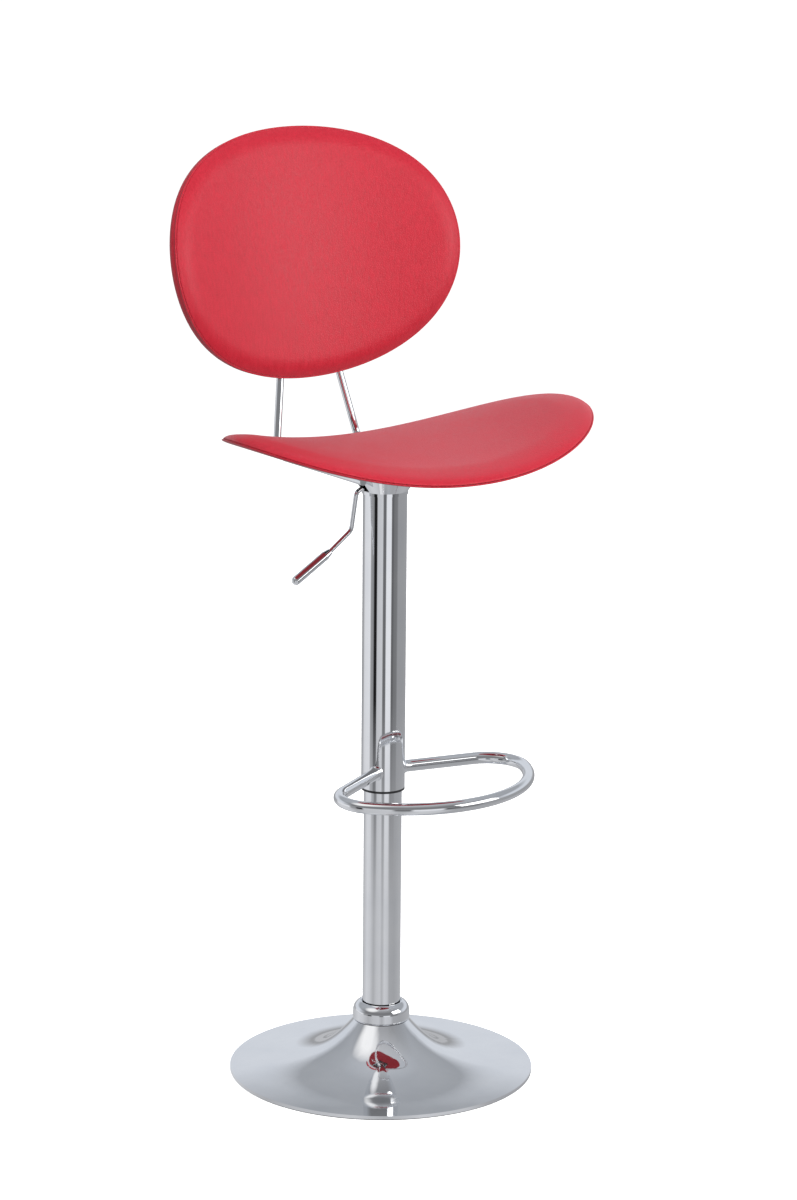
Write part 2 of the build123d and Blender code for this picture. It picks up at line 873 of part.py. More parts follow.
def back_front_pad():
    """Crowned front cushion with a recess for the board."""
    pad = cushion(
        back_half_width,
        back_half_height,
        back_bend,
        back_board_rear,
        0,
        back_crown,
        back_edge_round,
        back_seam_round,
    )
    half_x = back_half_width - back_board_inset + soft_gap
    half_y = back_half_height - back_board_inset + soft_gap
    low = back_board_rear - cut_margin
    room = oval_panel(half_x, half_y, back_bend, low, back_board_front + soft_gap)
    return back_plane() * (pad - room)


def back_rear_pad():
    """Padded rear cover with channels for the rods."""
    panel = oval_panel(back_half_width, back_half_height, back_bend, -back_edge_thickness, rear_pad_front)
    panel = rounded_rim(panel, back_seam_round, back_rear_round)
    pad = back_plane() * panel
    for side in (-1, 1):
        pad -= rod_channel(side)
        for spot in back_screw_places(side):
            pad -= spot * back_screw_hole(soft_gap)
    return pad


def main():
    os.makedirs("parts", exist_ok=True)
    lower_groove = end_disc_top + race_thickness + race_gap / 2
    export(floor_pad(), "floor_pad")
    export(ballast_plate(), "ballast_plate")
    export(base_shell(), "base_shell")
    export(base_collar(), "base_collar")
    export(stand_tube(), "stand_tube")
    export(guide_bush(), "guide_bush")
    export(end_disc(), "stand_end_disc")
    export(race(end_disc_top, lower_groove), "lower_thrust_race")
    export(thrust_balls(), "thrust_balls")
    export(race(upper_race_bottom, lower_groove), "upper_thrust_race")
    export(bump_stop(), "bump_stop")
    export(rod_clip(), "rod_clip")
    export(piston_rod(), "piston_rod")
    export(piston(), "piston")
    export(gas_cylinder(), "gas_cylinder")
    export(cylinder_seal(), "cylinder_seal")
    export(valve_button(), "valve_button")
    export(upper_tube(), "upper_tube")
    export(tube_bush(), "tube_bush")
    export(tube_cap(), "tube_cap")
    export(foot_loop(), "foot_loop")
    export(bell_cover(), "bell_cover")
    export(taper_socket(), "taper_socket")
    export(lever_bracket(), "lever_bracket")
    export(lever_pin(), "lever_pin")
    export(release_lever(), "release_lever")
    export(lever_grip(), "lever_grip")
    export(seat_plate(), "seat_plate")
    export(seat_block(), "seat_block")
    export(plate_screws(), "plate_screws")
    export(threaded_inserts(), "threaded_inserts")
    export(seat_board(), "seat_board")
    export(seat_pad(), "seat_pad")
    export(seat_under_cover(), "seat_under_cover")
    export(back_rod(-1), "right_back_rod")
    export(back_rod(1), "left_back_rod")
    export(back_screws(), "back_screws")
    export(back_board(), "back_board")
    export(back_front_pad(), "back_front_pad")
    export(back_rear_pad(), "back_rear_pad")


main()
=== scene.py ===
import json
import math

import bpy
from mathutils import Matrix, Vector


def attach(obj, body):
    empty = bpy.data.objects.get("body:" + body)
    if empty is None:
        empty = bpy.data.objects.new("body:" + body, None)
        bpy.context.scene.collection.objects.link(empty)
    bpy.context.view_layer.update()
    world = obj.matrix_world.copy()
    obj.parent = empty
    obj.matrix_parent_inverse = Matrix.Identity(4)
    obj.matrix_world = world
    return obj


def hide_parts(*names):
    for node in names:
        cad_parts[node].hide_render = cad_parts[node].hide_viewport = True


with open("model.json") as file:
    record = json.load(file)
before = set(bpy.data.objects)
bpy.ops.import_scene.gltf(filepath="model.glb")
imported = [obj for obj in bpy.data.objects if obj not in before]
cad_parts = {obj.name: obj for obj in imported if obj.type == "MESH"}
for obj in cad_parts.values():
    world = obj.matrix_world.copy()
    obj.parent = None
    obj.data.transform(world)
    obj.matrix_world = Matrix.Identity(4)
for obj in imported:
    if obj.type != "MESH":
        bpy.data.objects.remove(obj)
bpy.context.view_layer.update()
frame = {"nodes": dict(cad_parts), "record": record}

# Lengths are metres and angles degrees, unless a comment says otherwise.
# Origin on the floor under the column, +Z up, front -Y.
MM = 0.001

# Photograph's camera, found from the round base, the tubes and the symmetric seat and backrest
IMAGE_HEIGHT_PX = 1200
FOCAL_PX = 4424
SENSOR_MM = 36.0
CAMERA_DISTANCE = 5.557
CAMERA_HEIGHT = 2.014
CAMERA_AZIMUTH = 35.42
CAMERA_PITCH = 13.89
CAMERA_YAW = 0.19
CAMERA_ROLL = 0.48

# Seat and backrest: bent ovals, with heights measured square to the bent surface
SEAT_HALF_X = 0.258
SEAT_HALF_Y = 0.1577
SEAT_BEND = 0.655
SEAT_CENTRE = Vector((0, -0.0545, 0.8466))
BACK_HALF_X = 0.2175
BACK_HALF_Y = 0.1634
BACK_BEND = 0.473
BACK_RECLINE = 11.75
BACK_CENTRE = Vector((0, 0.1905, 1.0689))
GRID = 56

# Rings down the side of an upholstery piece: inset from the outline and height, in millimetres
SEAT_RIM = [
    (42.0, 2.8), (37.0, 2.4), (31.0, 1.2), (25.0, -0.3), (19.5, -1.9), (14.5, -3.5),
    (10.0, -5.2), (6.2, -7.2), (3.2, -9.5), (1.3, -11.6), (0.7, -12.8), (1.5, -13.5),
    (3.2, -13.9), (6.0, -14.2), (8.4, -14.4), (8.7, -13.8), (8.7, -7.6), (9.4, -6.9),
]
SEAT_UNDER_RIM = [
    (8.0, -14.9), (4.0, -14.7), (1.8, -14.1), (0.5, -13.7), (-0.5, -14.1), (-0.8, -14.9),
    (-0.2, -15.7), (1.4, -16.2), (4.0, -16.6), (7.5, -16.9), (12.0, -17.0),
]
BACK_RIM = [
    (25.0, 1.4), (21.0, 1.0), (17.0, 0.0), (13.4, -1.2), (10.2, -2.6), (7.2, -4.3),
    (4.6, -6.1), (2.4, -7.5), (1.1, -8.5), (1.7, -8.9), (3.2, -9.2), (6.0, -9.3),
    (9.4, -9.3), (9.7, -8.6), (9.7, -4.6), (10.4, -4.0),
]
BACK_REAR_RIM = [
    (10.0, -9.6), (5.0, -9.6), (2.6, -9.4), (0.9, -8.9), (-0.5, -9.3), (-1.0, -10.4),
    (-0.5, -11.5), (0.8, -12.2), (0.3, -13.6), (0.2, -15.8), (1.0, -18.2), (2.8, -20.4),
    (5.4, -22.0), (8.6, -22.8), (12.0, -23.0),
]

# Rise of a face from its rim to its middle
SEAT_CROWN = 1.2 * MM
BACK_CROWN = 2.6 * MM
BACK_REAR_CROWN = -1.6 * MM
CROWN_POWER = 0.8

# Stitches; their length is an angle in radians, and the tip is the squared share of the radius
# that is left at the ends
SEAT_STITCHES = {"inset": 1.2 * MM, "height": -13.3 * MM, "count": 270, "length": 0.016}
BACK_STITCHES = {"inset": 1.5 * MM, "height": -8.6 * MM, "count": 250, "length": 0.017}
STITCH_RADIUS = 0.4 * MM
STITCH_TIP = 0.05
STITCH_SIDES = 6
STITCH_RINGS = 5

# Foot loop: a bent tube whose arms meet the outer tube at its sides
LOOP_HEIGHT = 0.414
LOOP_TUBE_RADIUS = 0.008
LOOP_FRONT_RADIUS = 0.165
LOOP_REACH = 0.200
LOOP_CORNER_RADIUS = 0.048
LOOP_CORNER_ANGLE = 60.0
LOOP_ARM_SWEEP = 21.0
LOOP_TURN = 8.9
LOOP_ROOT_RADIUS = 0.0283
LOOP_SIDES = 32
LOOP_CORNER_RINGS = 20
LOOP_FRONT_RINGS = 18
# Weld at the end of an arm: distance from the tube and radius
LOOP_WELD = [
    (0.0, 0.0102), (0.0008, 0.0096), (0.0018, 0.0089),
    (0.003, 0.0083), (0.0045, 0.008), (0.012, 0.008),
]

# Cloth
CLOTH_FRAMES = 20
CLOTH_PRESSURE = 4.0
CLOTH_QUALITY = 6
CLOTH_STIFFNESS = 30.0
CLOTH_BENDING = 2.0
CLOTH_CAP = 0.003
CLOTH_EVEN_PASSES = 40

# Finishes: two tones each, from dark to light
CHROME_TONES = ((0.84, 0.85, 0.87, 1), (0.90, 0.905, 0.915, 1))
LEATHER_TONES = ((0.51, 0.011, 0.028, 1), (0.60, 0.018, 0.040, 1))
LEATHER_SHEEN = (1.0, 0.75, 0.78, 1)
THREAD_TONES = ((0.30, 0.008, 0.018, 1), (0.62, 0.03, 0.055, 1))
VENEER_TONES = ((0.38, 0.24, 0.12, 1), (0.68, 0.50, 0.30, 1))
WHITE = (1, 1, 1, 1)
# Pebbled grain of the leatherette: cells per metre and how far noise shifts them
PEBBLE_SCALE = 430.0
PEBBLE_SHIFT = 0.0012
# Pieces that show little; the relief is the depth of their fine surface
PLAIN_FINISHES = {
    "steel": {
        "tones": ((0.42, 0.43, 0.45, 1), (0.60, 0.61, 0.63, 1)),
        "roughness": (0.22, 0.36), "scale": 220, "relief": 0.0001, "metallic": 1.0,
    },
    "black_paint": {
        "tones": ((0.012, 0.012, 0.013, 1), (0.03, 0.03, 0.032, 1)),
        "roughness": (0.3, 0.45), "scale": 160, "relief": 0.0001,
    },
    "black_plastic": {
        "tones": ((0.010, 0.010, 0.011, 1), (0.022, 0.022, 0.024, 1)),
        "roughness": (0.4, 0.55), "scale": 700, "relief": 0.0001,
    },
    "rubber": {
        "tones": ((0.012, 0.012, 0.012, 1), (0.03, 0.03, 0.03, 1)),
        "roughness": (0.7, 0.9), "scale": 500, "relief": 0.0003,
    },
    "cast_iron": {
        "tones": ((0.05, 0.05, 0.05, 1), (0.13, 0.125, 0.12, 1)),
        "roughness": (0.6, 0.8), "scale": 300, "relief": 0.0006, "metallic": 0.6,
    },
}

# Studio. Azimuths are measured from the side on which the photograph's camera stood, which is a
# fixed direction of the scene.
# Strips of light and dark round the stool, which the chrome mirrors: azimuth and brightness
STUDIO_BANDS = [
    (-180, 0.36), (-131, 0.40), (-123, 0.75), (-78, 0.82), (-72, 0.34), (-58, 0.28),
    (-53, 0.012), (-40, 0.012), (-36, 0.60), (-9, 0.66), (-5, 0.16), (7, 0.16), (11, 0.86),
    (35, 0.86), (39, 0.12), (47, 0.14), (52, 0.19), (68, 0.21), (76, 0.34), (180, 0.36),
]
# The same, softer, on the floor near the stool
FLOOR_STREAKS = [
    (-180, 0.50), (-130, 0.56), (-100, 0.70), (-75, 0.64), (-50, 0.46), (-30, 0.58), (-10, 0.62),
    (2, 0.48), (16, 0.66), (36, 0.60), (46, 0.42), (80, 0.40), (120, 0.46), (180, 0.50),
]
# Above the strips, behind the stool and in front of it: height of the direction, from 0 level to
# 1 straight up, and brightness
SKY_BEHIND = [(0.0, 0.74), (0.36, 0.72), (0.50, 0.39), (0.80, 0.44), (1.0, 0.54)]
SKY_FRONT = [(0.0, 0.50), (0.20, 0.24), (0.50, 0.20), (0.80, 0.34), (1.0, 0.56)]
# Where behind goes over into front, and where the strips go over into the sky
SKY_TURN = (-0.25, 0.35)
BANDS_END = (0.02, 0.16)
COOL = (0.975, 0.99, 1.03)
COLD = (0.94, 0.985, 1.06)
NEUTRAL = (1, 1, 1)
# Soft light overhead: azimuth and height of its middle, and the cosines between which it fades in
PATCH_AZIMUTH = -60
PATCH_HEIGHT = 58
PATCH_EDGE = (0.90, 0.985)
# Light that falls on the stool from all round: height of the direction, from -1 to 1, and brightness
STUDIO_FILL = [(-1.0, 0.45), (-0.2, 0.36), (0.2, 0.20), (1.0, 0.20)]
FLOOR_SIZE = 60.0
FLOOR_GLOW = 0.86
# The floor that the chrome mirrors fades out between these distances from the column
FLOOR_NEAR = 0.7
FLOOR_FAR = 1.9
FLOOR_CARD_SIDES = 72
# Soft lights, aimed at the seat
LIGHT_AIM = Vector((0, 0, 0.85))
SOFTBOXES = {
    "key": {
        "azimuth": 70, "distance": 3.0, "height": 1.65,
        "width": 2.2, "tall": 1.6, "power": 26, "mirrored": True,
    },
    "front": {
        "azimuth": 36, "distance": 2.6, "height": 2.9,
        "width": 2.0, "tall": 2.0, "power": 92, "mirrored": False,
    },
    "left": {
        "azimuth": -60, "distance": 1.8, "height": 2.9,
        "width": 1.6, "tall": 1.6, "power": 13, "mirrored": False,
    },
    "rear": {
        "azimuth": 165, "distance": 3.0, "height": 2.3,
        "width": 2.2, "tall": 2.2, "power": 50, "mirrored": False,
    },
}


# Node helpers

# Inputs (factor, first, second) and output of a mix node, by its kind
MIX_SOCKETS = {"FLOAT": ((0, 2, 3), 0), "RGBA": ((0, 6, 7), 2)}


def new_material(name):
    material = bpy.data.materials.new(name)
    material.use_nodes = True
    tree = material.node_tree
    return material, tree, tree.nodes["Principled BSDF"]


def plug(tree, source, socket):
    """Link a node's output to a socket, or set a constant on it."""
    if isinstance(source, bpy.types.NodeSocket):
        tree.links.new(source, socket)
    else:
        socket.default_value = source


def set_inputs(tree, node, inputs):
    for name, source in inputs.items():
        plug(tree, source, node.inputs[name])


def add_node(tree, kind, *sources, **settings):
    """New node with its settings, and with sources plugged into its first inputs in order."""
    node = tree.nodes.new(kind)
    for name, value in settings.items():
        setattr(node, name, value)
    for source, socket in zip(sources, node.inputs):
        plug(tree, source, socket)
    return node


def mix(tree, kind, factor, first, second, **settings):
    node = add_node(tree, "ShaderNodeMix", data_type=kind, **settings)
    inputs, output = MIX_SOCKETS[kind]
    for index, source in zip(inputs, (factor, first, second)):
        plug(tree, source, node.inputs[index])
    return node.outputs[output]


def object_coords(tree):
    return tree.nodes.new("ShaderNodeTexCoord").outputs["Object"]


def noise_node(tree, vector, scale, detail=3.0, roughness=0.55):
    node = add_node(tree, "ShaderNodeTexNoise")
    inputs = {"Vector": vector, "Scale": scale, "Detail": detail, "Roughness": roughness}
    set_inputs(tree, node, inputs)
    return node


def noise(tree, vector, scale, **settings):
    return noise_node(tree, vector, scale, **settings).outputs["Fac"]


def stretched(tree, vector, scale):
    node = add_node(tree, "ShaderNodeMapping")
    set_inputs(tree, node, {"Vector": vector, "Scale": scale})
    return node.outputs["Vector"]


def colour_ramp(tree, factor, stops):
    node = tree.nodes.new("ShaderNodeValToRGB")
    elements = node.color_ramp.elements
    while len(elements) < len(stops):
        elements.new(0.5)
    for element, (position, colour) in zip(elements, stops):
        element.position = position
        element.color = colour
    tree.links.new(factor, node.inputs["Fac"])
    return node.outputs["Color"]


def ramp(tree, factor, tones, span=(0.0, 1.0)):
    """Run from the first tone to the second over a span of the factor."""
    return colour_ramp(tree, factor, list(zip(span, tones)))


def brightness_ramp(tree, factor, stops, low, high, tint):
    """Tinted brightness for stops given between low and high, by a factor from 0 to 1."""
    shades = []
    for at, value in stops:
        colour = (value * tint[0], value * tint[1], value * tint[2], 1)
        shades.append(((at - low) / (high - low), colour))
    return colour_ramp(tree, factor, shades)


def map_range(tree, value, low, high, to_low=0.0, to_high=1.0):
    node = add_node(tree, "ShaderNodeMapRange")
    inputs = {"Value": value, "From Min": low, "From Max": high, "To Min": to_low, "To Max": to_high}
    set_inputs(tree, node, inputs)
    return node.outputs["Result"]


def grey(value):
    return (value, value, value, 1.0)


def greys(dark, light):
    return (grey(dark), grey(light))


def bump(tree, bsdf, height, strength, distance):
    node = add_node(tree, "ShaderNodeBump")
    set_inputs(tree, node, {"Height": height, "Strength": strength, "Distance": distance})
    tree.links.new(node.outputs["Normal"], bsdf.inputs["Normal"])


# Materials

def chrome_material():
    """Polished plating with faint handling marks in its gloss."""
    material, tree, bsdf = new_material("chrome")
    coords = object_coords(tree)
    smudge = noise(tree, coords, scale=18.0, detail=5.0)
    set_inputs(tree, bsdf, {
        "Metallic": 1.0,
        "Base Color": ramp(tree, smudge, CHROME_TONES, (0.3, 0.7)),
        "Roughness": ramp(tree, smudge, greys(0.03, 0.07), (0.35, 0.7)),
    })
    bump(tree, bsdf, noise(tree, coords, scale=9.0, detail=1.0), strength=0.02, distance=0.0004)
    return material


def leatherette_material():
    """Red coated fabric with pebbled grain, painted shade in the grain's valleys, fine streaks and a
    soft sheen.
    """
    material, tree, bsdf = new_material("red_leatherette")
    coords = object_coords(tree)
    warp = noise_node(tree, coords, scale=160.0, detail=2.0, roughness=0.5).outputs["Color"]
    shift = add_node(
        tree, "ShaderNodeVectorMath", warp, (PEBBLE_SHIFT,) * 3, coords, operation="MULTIPLY_ADD"
    )
    cells = add_node(tree, "ShaderNodeTexVoronoi", feature="DISTANCE_TO_EDGE")
    set_inputs(tree, cells, {"Vector": shift.outputs["Vector"], "Scale": PEBBLE_SCALE})
    from_edge = cells.outputs["Distance"]
    pebbles = ramp(tree, from_edge, greys(0.0, 1.0), (0.0, 0.28))
    # Painted shade: the base colour is darkened along the cell edges, in the valleys between the
    # pebbles
    painted_valley_shade = ramp(tree, from_edge, greys(0.86, 1.0), (0.0, 0.12))
    long_coords = stretched(tree, coords, (320, 320, 48))
    streaks = noise(tree, long_coords, scale=1.0, detail=4.0, roughness=0.6)
    patches = noise(tree, coords, scale=24.0, detail=4.0)
    mottle = mix(tree, "FLOAT", 0.8, patches, streaks)
    base = ramp(tree, mottle, LEATHER_TONES, (0.35, 0.65))
    set_inputs(tree, bsdf, {
        "Base Color": mix(tree, "RGBA", 1.0, base, painted_valley_shade, blend_type="MULTIPLY"),
        "Roughness": ramp(tree, mottle, greys(0.36, 0.48), (0.35, 0.65)),
        "Specular IOR Level": 0.6,
        "Sheen Weight": 0.12,
        "Sheen Roughness": 0.4,
        "Sheen Tint": LEATHER_SHEEN,
    })
    bump(tree, bsdf, mix(tree, "FLOAT", 0.55, pebbles, streaks), strength=0.5, distance=0.0005)
    return material


def thread_material():
    """Twisted red sewing thread."""
    material, tree, bsdf = new_material("red_thread")
    wave = add_node(tree, "ShaderNodeTexWave")
    set_inputs(tree, wave, {"Vector": object_coords(tree), "Scale": 900.0, "Distortion": 1.0})
    twist = wave.outputs["Fac"]
    set_inputs(tree, bsdf, {"Base Color": ramp(tree, twist, THREAD_TONES), "Roughness": 0.6})
    bump(tree, bsdf, twist, strength=0.4, distance=0.0002)
    return material


def plywood_material():
    """Pale veneer with stretched grain."""
    material, tree, bsdf = new_material("plywood")
    long_coords = stretched(tree, object_coords(tree), (6, 90, 90))
    grain = noise(tree, long_coords, scale=1.0, detail=6.0)
    tone = ramp(tree, grain, VENEER_TONES, (0.3, 0.7))
    set_inputs(tree, bsdf, {"Base Color": tone, "Roughness": 0.65})
    bump(tree, bsdf, grain, strength=0.3, distance=0.0003)
    return material


def plain_material(name, tones, roughness, scale, relief, metallic=0.0):
    """Mottled finish: two tones, uneven gloss and a fine surface."""
    material, tree, bsdf = new_material(name)
    grain = noise(tree, object_coords(tree), scale, detail=4.0)
    set_inputs(tree, bsdf, {
        "Base Color": ramp(tree, grain, tones, (0.3, 0.7)),
        "Roughness": ramp(tree, grain, greys(*roughness), (0.3, 0.7)),
        "Metallic": metallic,
    })
    bump(tree, bsdf, grain, strength=0.3, distance=relief)
    return material


def make_materials():
    made = {
        "chrome": chrome_material(),
        "red_leatherette": leatherette_material(),
        "thread": thread_material(),
        "plywood": plywood_material(),
    }
    for name, finish in PLAIN_FINISHES.items():
        made[name] = plain_material(name, **finish)
    return made


# Bent ovals

class Oval:
    """Bent oval surface: p and q run from -1 to 1 across it, the height is square to it."""

    def __init__(self, half_x, half_y, bend, place):
        self.half_x = half_x
        self.half_y = half_y
        self.bend = bend
        self.slope = half_x / math.sqrt(bend**2 - half_x**2)
        self.place = place

    def point(self, p, q, height):
        angle = math.atan(self.slope * p)
        reach = self.bend - height
        x = reach * math.sin(angle)
        z = self.bend - reach * math.cos(angle)
        return self.place @ Vector((x, self.half_y * q, z))

    def rim_point(self, unit, inset, height):
        p = unit[0] * (1 - inset / self.half_x)
        q = unit[1] * (1 - inset / self.half_y)
        return self.point(p, q, height)


def disc_grid():
    """Square grid drawn round into a unit disc: points by row and column."""
    steps = [2 * i / GRID - 1 for i in range(GRID + 1)]

    def rounded(x, y):
        return (x * math.sqrt(1 - y * y / 2), y * math.sqrt(1 - x * x / 2))

    return [[rounded(x, y) for x in steps] for y in steps]


def rim_cells():
    """Row and column of the grid's outer points, once round."""
    last = GRID
    cells = [(0, i) for i in range(last)] + [(i, last) for i in range(last)]
    cells += [(last, last - i) for i in range(last)] + [(last - i, 0) for i in range(last)]
    return cells


def new_piece(name, verts, faces):
    mesh = bpy.data.meshes.new(name)
    mesh.from_pydata([tuple(v) for v in verts], [], faces)
    mesh.validate()
    piece = bpy.data.objects.new(name, mesh)
    bpy.context.collection.objects.link(piece)
    return piece


def oval_piece(name, oval, rim_mm, top_rise=0.0, bottom_rise=0.0):
    """Closed mesh: an upper grid, rings down the side and a lower grid.

    The grids end on the first and the last ring, and rise from there to their middles.
    """
    rim = [(inset * MM, height * MM) for inset, height in rim_mm]
    grid = disc_grid()
    cells = rim_cells()
    count = len(cells)
    verts = []
    faces = []

    def add_grid(inset, edge, rise, flip):
        start = len(verts)
        for row in grid:
            for p, q in row:
                far = min(1.0, math.hypot(p, q))
                height = edge + rise * (1 - far**2) ** CROWN_POWER
                verts.append(oval.rim_point((p, q), inset, height))
        for r in range(GRID):
            for c in range(GRID):
                corner = start + r * (GRID + 1) + c
                quad = (corner, corner + 1, corner + GRID + 2, corner + GRID + 1)
                faces.append(quad[::-1] if flip else quad)
        return [start + r * (GRID + 1) + c for r, c in cells]

    loops = [add_grid(*rim[0], top_rise, flip=False)]
    for inset, height in rim[1:-1]:
        start = len(verts)
        for r, c in cells:
            verts.append(oval.rim_point(grid[r][c], inset, height))
        loops.append(list(range(start, start + count)))
    loops.append(add_grid(*rim[-1], bottom_rise, flip=True))
    for upper, lower in zip(loops, loops[1:]):
        for i in range(count):
            j = (i + 1) % count
            faces.append((upper[j], upper[i], lower[i], lower[j]))
    return new_piece(name, verts, faces)


def evened(piece, steps, free):
    """Average each free point's movement with its neighbours', so that no fine creases stay."""
    near = [[] for _ in steps]
    for edge in piece.data.edges:
        a, b = edge.vertices
        near[a].append(b)
        near[b].append(a)
    for _ in range(CLOTH_EVEN_PASSES):
        average = []
        for i in range(free):
            total = sum((steps[n] for n in near[i]), steps[i])
            average.append(total / (len(near[i]) + 1))
        steps = average + steps[free:]
    return steps


def swell(piece):
    """Blow the upper face up a little as cloth, held at the sides, with its movement capped."""
    rest = [v.co.copy() for v in piece.data.vertices]
    face_count = (GRID + 1) ** 2
    held = piece.vertex_groups.new(name="held")
    held.add(list(range(face_count, len(rest))), 1.0, "REPLACE")
    cloth = piece.modifiers.new("swell", "CLOTH")
    settings = cloth.settings
    settings.use_pressure = True
    settings.uniform_pressure_force = CLOTH_PRESSURE
    settings.effector_weights.gravity = 0.0
    settings.vertex_group_mass = "held"
    settings.quality = CLOTH_QUALITY
    settings.tension_stiffness = CLOTH_STIFFNESS
    settings.compression_stiffness = CLOTH_STIFFNESS
    settings.bending_stiffness = CLOTH_BENDING
    cloth.point_cache.frame_start = 1
    cloth.point_cache.frame_end = CLOTH_FRAMES
    scene = bpy.context.scene
    for number in range(1, CLOTH_FRAMES + 1):
        scene.frame_set(number)
    shaped = piece.evaluated_get(bpy.context.evaluated_depsgraph_get())
    moved = [v.co.copy() for v in shaped.data.vertices]
    piece.modifiers.remove(cloth)
    steps = [after - before for before, after in zip(rest, moved)]
    steps = [step * (CLOTH_CAP / max(step.length, CLOTH_CAP)) for step in steps]
    steps = evened(piece, steps, face_count)
    for vertex, before, step in zip(piece.data.vertices, rest, steps):
        vertex.co = before + step
    scene.frame_set(1)


def finish_piece(piece, material, nodes=(), subdivide=1):
    """Smooth, coat and place one upholstery piece on the seat."""
    for polygon in piece.data.polygons:
        polygon.use_smooth = True
    piece.data.materials.append(material)
    if subdivide:
        modifier = piece.modifiers.new("smooth", "SUBSURF")
        modifier.levels = subdivide
        modifier.render_levels = subdivide
    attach(piece, "seat")
    if nodes:
        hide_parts(*nodes)


def stitch_row(name, oval, inset, height, count, length):
    """Row of short thread stitches round the rim of an oval."""
    verts = []
    faces = []
    for s in range(count):
        middle = 2 * math.pi * s / count
        rings = []
        for t in range(STITCH_RINGS):
            share = t / (STITCH_RINGS - 1)
            turn = middle + (share - 0.5) * length
            thick = STITCH_RADIUS * math.sqrt(max(STITCH_TIP, 1 - (2 * share - 1) ** 2))
            unit = (math.cos(turn), math.sin(turn))
            ring = []
            for k in range(STITCH_SIDES):
                spin = 2 * math.pi * k / STITCH_SIDES
                ring.append(len(verts))
                outward = thick * math.cos(spin)
                upward = thick * math.sin(spin)
                verts.append(oval.rim_point(unit, inset - outward, height + upward))
            rings.append(ring)
        for a, b in zip(rings, rings[1:]):
            for k in range(STITCH_SIDES):
                n = (k + 1) % STITCH_SIDES
                faces.append((a[k], b[k], b[n], a[n]))
        faces.append(tuple(rings[0]))
        faces.append(tuple(rings[-1][::-1]))
    return new_piece(name, verts, faces)


# Cushions

def make_seat(materials):
    oval = Oval(SEAT_HALF_X, SEAT_HALF_Y, SEAT_BEND, Matrix.Translation(SEAT_CENTRE))
    leather = materials["red_leatherette"]
    cushion = oval_piece("seat_cushion", oval, SEAT_RIM, top_rise=SEAT_CROWN)
    swell(cushion)
    finish_piece(cushion, leather, ["seat_pad"])
    under = oval_piece("seat_underside", oval, SEAT_UNDER_RIM)
    finish_piece(under, leather, ["seat_under_cover"])
    seam = stitch_row("seat_stitching", oval, **SEAT_STITCHES)
    finish_piece(seam, materials["thread"], subdivide=0)


def make_back(materials):
    upright = Matrix.Rotation(math.radians(90 - BACK_RECLINE), 4, "X")
    place = Matrix.Translation(BACK_CENTRE) @ upright
    oval = Oval(BACK_HALF_X, BACK_HALF_Y, BACK_BEND, place)
    leather = materials["red_leatherette"]
    cushion = oval_piece("back_cushion", oval, BACK_RIM, top_rise=BACK_CROWN)
    swell(cushion)
    finish_piece(cushion, leather, ["back_front_pad"])
    rear = oval_piece("back_rear_panel", oval, BACK_REAR_RIM, bottom_rise=BACK_REAR_CROWN)
    finish_piece(rear, leather, ["back_rear_pad"])
    seam = stitch_row("back_stitching", oval, **BACK_STITCHES)
    finish_piece(seam, materials["thread"], subdivide=0)


# Foot loop

def loop_ring(centre, along_path, radius):
    """Ring of points square to a flat path."""
    side = Vector((-along_path.y, along_path.x, 0))
    up = Vector((0, 0, 1))
    spins = [2 * math.pi * k / LOOP_SIDES for k in range(LOOP_SIDES)]
    return [centre + radius * (math.cos(a) * side + math.sin(a) * up) for a in spins]


def welded(ring, along_arm, distance):
    """Slide a ring's points along the arm until they stand at a distance from the outer tube."""
    placed = []
    for point in ring:
        flat = Vector((point.x, point.y, 0))
        reach = flat.dot(along_arm)
        step = -reach + math.sqrt(reach**2 - flat.length_squared + LOOP_ROOT_RADIUS**2)
        placed.append(point + (step + distance) * along_arm)
    return placed


def loop_arc(centre, radius, start, end, count):
    """Rings along an arc that runs clockwise from one polar angle to another."""
    rings = []
    for i in range(1, count + 1):
        angle = math.radians(start + (end - start) * i / count)
        out = Vector((math.cos(angle), math.sin(angle), 0))
        path = Vector((out.y, -out.x, 0))
        rings.append(loop_ring(centre + radius * out, path, LOOP_TUBE_RADIUS))
    return rings


